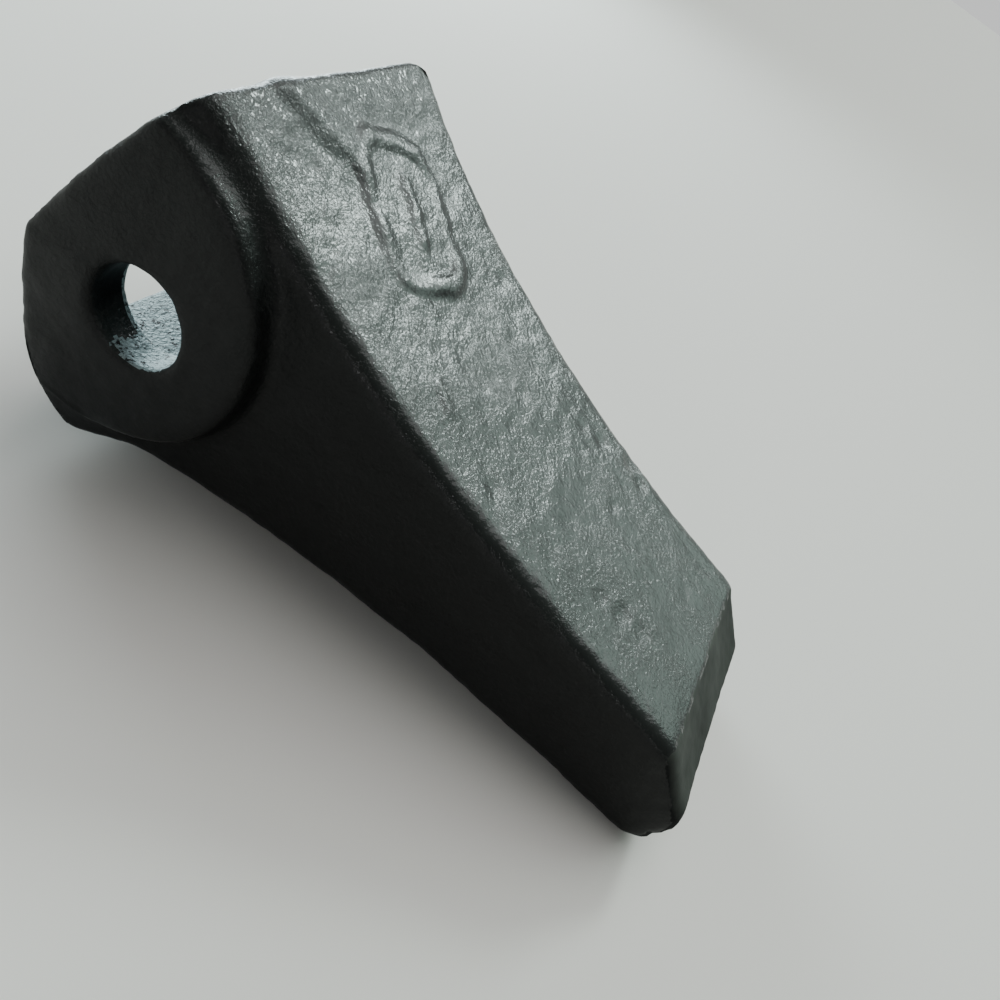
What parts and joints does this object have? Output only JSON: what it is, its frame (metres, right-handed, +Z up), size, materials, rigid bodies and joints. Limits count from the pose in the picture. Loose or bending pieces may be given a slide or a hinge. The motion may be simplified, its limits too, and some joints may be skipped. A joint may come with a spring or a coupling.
{
  "type": "excavator bucket tooth",
  "caption": "Cast rock tooth with a wedge socket, side ears with a cross bore, bevelled blunt tip and a rubber-locked retaining pin.",
  "frame": {"origin": "On the pin bore axis at mid width of the tooth, 52.1 mm above the ground that the tooth lies on.", "axes": "+X along the tooth to its tip, +Y across to the ear that holds the waiting pin, +Z up. The tooth is pitched 11.1 degrees nose down, as it lies on level ground on the lower edge of its tip and the lower rear edge of its socket."},
  "size_m": [0.2205, 0.1645, 0.109],
  "materials": {
    "tooth_paint": "rough sand-cast alloy steel dipped in glossy black bituminous paint",
    "pin_steel": "turned and oiled hardened steel bar",
    "cushion_rubber": "moulded black rubber",
    "lock_steel": "dark heat-treated steel"
  },
  "bodies": {
    "tooth": {"tooth_casting": "tooth_paint"},
    "pin": {"pin_body": "pin_steel", "pin_cushion": "cushion_rubber"},
    "lock": {"pin_lock": "lock_steel"}
  },
  "joints": [
    {"name": "pin_slide", "type": "slide", "parent": "tooth", "child": "pin", "axis": [0, -1, 0], "range_m": [-0.05, 0.058]},
    {"name": "lock_press", "type": "slide", "parent": "pin", "child": "lock", "axis": [0, 0, 1], "range_m": [-0.0014, 0.0008], "stiffness_N_per_m": 40000, "deforming": ["pin_cushion"]}
  ]
}
